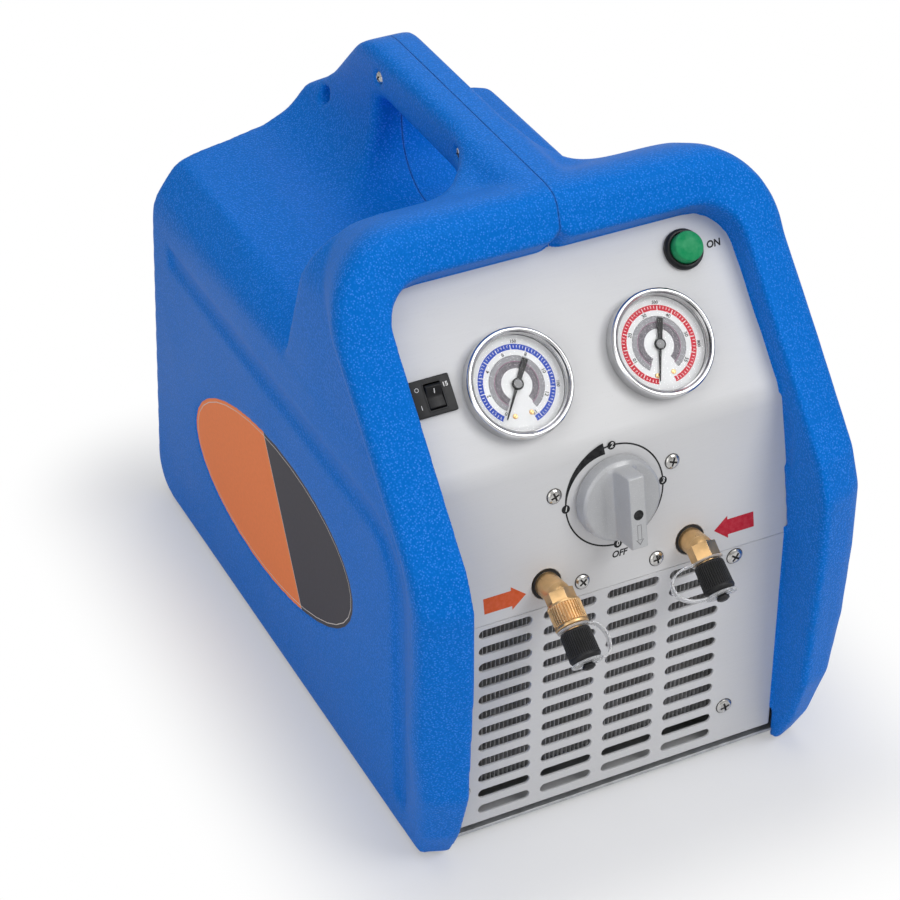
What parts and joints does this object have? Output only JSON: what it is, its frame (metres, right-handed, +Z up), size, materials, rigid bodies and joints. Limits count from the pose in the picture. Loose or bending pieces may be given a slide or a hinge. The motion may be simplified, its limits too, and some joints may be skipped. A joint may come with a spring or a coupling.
{
  "type": "refrigerant recovery machine",
  "caption": "Portable refrigerant recovery machine: two-part moulded case with a top handle, slanted gauge panel, selector knob, capped flare ports and slotted grille.",
  "frame": {"origin": "middle of the machine's bounding box, at the soles of its feet", "axes": "+Z up, -Y towards the front with the gauges and ports, +X to the right as seen from the front"},
  "size_m": [0.266, 0.4428, 0.35],
  "materials": {
    "shell_blue": "moulded, fine pebble grain",
    "panel_metal": "satin silver paint",
    "inlay": "satin film",
    "steel": "satin",
    "coil": "bare mill finish",
    "rubber": "matte",
    "black_plastic": "satin",
    "chrome": "polished",
    "brass": "machined",
    "copper": "drawn tube",
    "cast_aluminium": "as cast",
    "dial_white": "printed",
    "clear": "clear",
    "button_green": "moulded",
    "knob_grey": "satin"
  },
  "bodies": {
    "machine": {"ac_inlet": "black_plastic", "base_plate": "steel", "breaker_body": "black_plastic", "compressor_cradle": "steel", "compressor_crankcase": "cast_aluminium", "condenser_end_left": "coil", "condenser_end_right": "coil", "condenser_fins": "coil", "control_panel": "panel_metal", "discharge_pipe": "copper", "fan_shroud": "black_plastic", "foot_front_left": "rubber", "foot_front_right": "rubber", "foot_rear_left": "rubber", "foot_rear_right": "rubber", "grille_panel": "panel_metal", "high_gauge_bezel": "chrome", "high_gauge_case": "black_plastic", "high_gauge_dial": "dial_white", "high_gauge_lens": "clear", "high_gauge_pipe": "copper", "in_port_fitting": "brass", "inlet_pin_earth": "chrome", "inlet_pin_live": "chrome", "inlet_pin_neutral": "chrome", "isolator_front_left": "rubber", "isolator_front_right": "rubber", "isolator_rear_left": "rubber", "isolator_rear_right": "rubber", "left_cylinder_head": "cast_aluminium", "left_shell": "shell_blue", "low_gauge_bezel": "chrome", "low_gauge_case": "black_plastic", "low_gauge_dial": "dial_white", "low_gauge_lens": "clear", "low_gauge_pipe": "copper", "motor_housing": "cast_aluminium", "out_port_fitting": "brass", "pressure_switch": "black_plastic", "rear_panel": "panel_metal", "right_cylinder_head": "cast_aluminium", "right_shell": "shell_blue", "run_capacitor": "black_plastic", "selector_valve_body": "cast_aluminium", "side_inlay": "inlay", "start_button_housing": "black_plastic", "suction_pipe": "copper"},
    "selector": {"selector_knob": "knob_grey"},
    "start_plunger": {"start_button": "button_green"},
    "breaker_lever": {"breaker_rocker": "black_plastic"},
    "low_pointer": {"low_gauge_pointer": "black_plastic"},
    "high_pointer": {"high_gauge_pointer": "black_plastic"},
    "rotor": {"motor_shaft": "chrome", "fan_blade": "black_plastic"},
    "in_nut": {"in_filter_nut": "brass"},
    "in_cap": {"in_port_cap": "black_plastic", "in_cap_strap": "clear"},
    "out_cap": {"out_port_cap": "black_plastic", "out_cap_strap": "clear"}
  },
  "joints": [
    {"name": "selector_turn", "type": "hinge", "parent": "machine", "child": "selector", "pos_m": [0, -0.16054, 0.20395], "axis": [0, -0.9833, 0.1822], "range_deg": [-270, 0]},
    {"name": "start_press", "type": "slide", "parent": "machine", "child": "start_plunger", "axis": [0, 0.7314, -0.682], "range_m": [0, 0.003], "stiffness_N_per_m": 600, "springref_m": -0.002},
    {"name": "breaker_rock", "type": "hinge", "parent": "machine", "child": "breaker_lever", "pos_m": [-0.0875, -0.12255, 0.27037], "axis": [1, 0, 0], "range_deg": [-20, 0]},
    {"name": "low_gauge_turn", "type": "hinge", "parent": "machine", "child": "low_pointer", "pos_m": [-0.0424, -0.12657, 0.26606], "axis": [0, -0.7314, 0.682], "range_deg": [-308, 0], "stiffness_Nm_per_rad": 0.0005},
    {"name": "high_gauge_turn", "type": "hinge", "parent": "machine", "child": "high_pointer", "pos_m": [0.0424, -0.12657, 0.26606], "axis": [0, -0.7314, 0.682], "range_deg": [-333, 0], "stiffness_Nm_per_rad": 0.0005},
    {"name": "rotor_spin", "type": "hinge", "parent": "machine", "child": "rotor", "pos_m": [0, -0.08119, 0.092], "axis": [0, 1, 0], "continuous": true},
    {"name": "in_nut_turn", "type": "hinge", "parent": "machine", "child": "in_nut", "pos_m": [-0.0438, -0.18262, 0.16715], "axis": [0, -0.8241, -0.5664], "continuous": true},
    {"name": "in_cap_turn", "type": "hinge", "parent": "machine", "child": "in_cap", "pos_m": [-0.0438, -0.18262, 0.16715], "axis": [0, -0.8241, -0.5664], "continuous": true},
    {"name": "out_cap_turn", "type": "hinge", "parent": "machine", "child": "out_cap", "pos_m": [0.0438, -0.18065, 0.16679], "axis": [0, -0.8241, -0.5664], "continuous": true}
  ]
}
